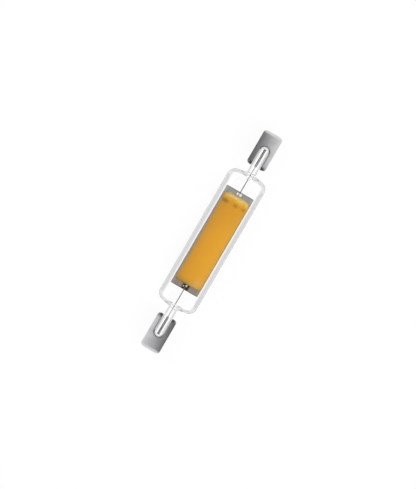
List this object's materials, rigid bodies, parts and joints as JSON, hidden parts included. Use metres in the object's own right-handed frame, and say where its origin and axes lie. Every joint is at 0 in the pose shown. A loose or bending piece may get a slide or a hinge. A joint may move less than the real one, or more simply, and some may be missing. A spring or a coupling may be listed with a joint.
{
  "type": "double-ended linear led lamp",
  "caption": "Slim double-ended LED lamp: a clear glass tube holding a phosphor-coated board on lead wires, with a slotted metal cap and recessed contact at each end.",
  "frame": {"origin": "middle of the lamp, on the axis of the tube, halfway between the two end contacts", "axes": "+X along the lamp towards the driver end, +Z the way the light leaves the board, +Y across the board"},
  "size_m": [0.078, 0.0132, 0.0132],
  "materials": {
    "clear_glass": "polished",
    "board_metal": "satin",
    "die_crystal": "satin",
    "phosphor_silicone": "satin",
    "chip_epoxy": "matte",
    "solder_tin": "polished",
    "lead_wire": "satin",
    "seal_metal": "satin",
    "white_cement": "matte",
    "cap_metal": "satin"
  },
  "bodies": {
    "root": {"glass_envelope": "clear_glass", "led_board": "board_metal", "led_dies": "die_crystal", "phosphor_coat": "phosphor_silicone", "bridge_rectifier": "chip_epoxy", "driver_chip": "chip_epoxy", "sense_resistor": "chip_epoxy", "solder_driver_end": "solder_tin", "solder_far_end": "solder_tin", "inner_lead_driver_end": "lead_wire", "inner_lead_far_end": "lead_wire", "outer_lead_driver_end": "lead_wire", "outer_lead_far_end": "lead_wire", "seal_pin_driver_end": "seal_metal", "seal_pin_far_end": "seal_metal", "cap_cement_driver_end": "white_cement", "cap_cement_far_end": "white_cement", "end_cap_driver_end": "cap_metal", "end_cap_far_end": "cap_metal"}
  },
  "joints": []
}
